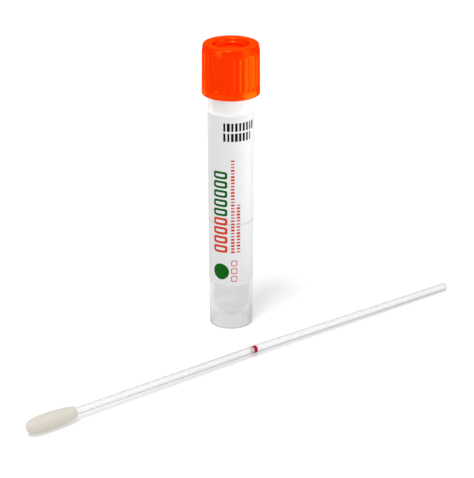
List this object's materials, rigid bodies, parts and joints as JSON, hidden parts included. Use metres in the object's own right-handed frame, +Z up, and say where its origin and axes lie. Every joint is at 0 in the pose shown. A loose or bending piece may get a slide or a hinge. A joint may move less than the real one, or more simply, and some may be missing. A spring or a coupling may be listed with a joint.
{
  "type": "specimen swab tube",
  "caption": "Skirted transport tube with ribbed screw cap, wrapped label and liquid medium, and a flocked swab with a marked breakpoint lying beside it.",
  "frame": {"origin": "on the floor, under the middle of the box round tube and swab", "axes": "+X along the swab from its flocked tip to its handle, +Y from the swab towards the tube, +Z up along the tube's axis"},
  "size_m": [0.1488, 0.0334, 0.0815],
  "materials": {
    "tube": "satin",
    "cap": "satin",
    "seal": "matte",
    "label": "satin",
    "medium": "gloss",
    "shaft": "satin",
    "flock": "matte",
    "mark": "matte"
  },
  "bodies": {
    "root": {"tube": "tube", "label": "label", "transport_medium": "medium", "swab_shaft": "shaft", "flocked_tip": "flock", "breakpoint_mark": "mark"},
    "ring": {"sealing_ring": "seal"},
    "cap": {"screw_cap": "cap"}
  },
  "joints": [
    {"name": "cap_lift", "type": "slide", "parent": "root", "child": "ring", "axis": [0, 0, 1], "range_m": [0, 0.012]},
    {"name": "cap_turn", "type": "hinge", "parent": "ring", "child": "cap", "pos_m": [0.0126, 0.00873, 0.0742], "axis": [0, 0, 1], "range_deg": [0, 1440]}
  ],
  "couplings": [
    {"joint": "cap_turn", "follows": "cap_lift", "rad_per_m": 2094.4}
  ]
}
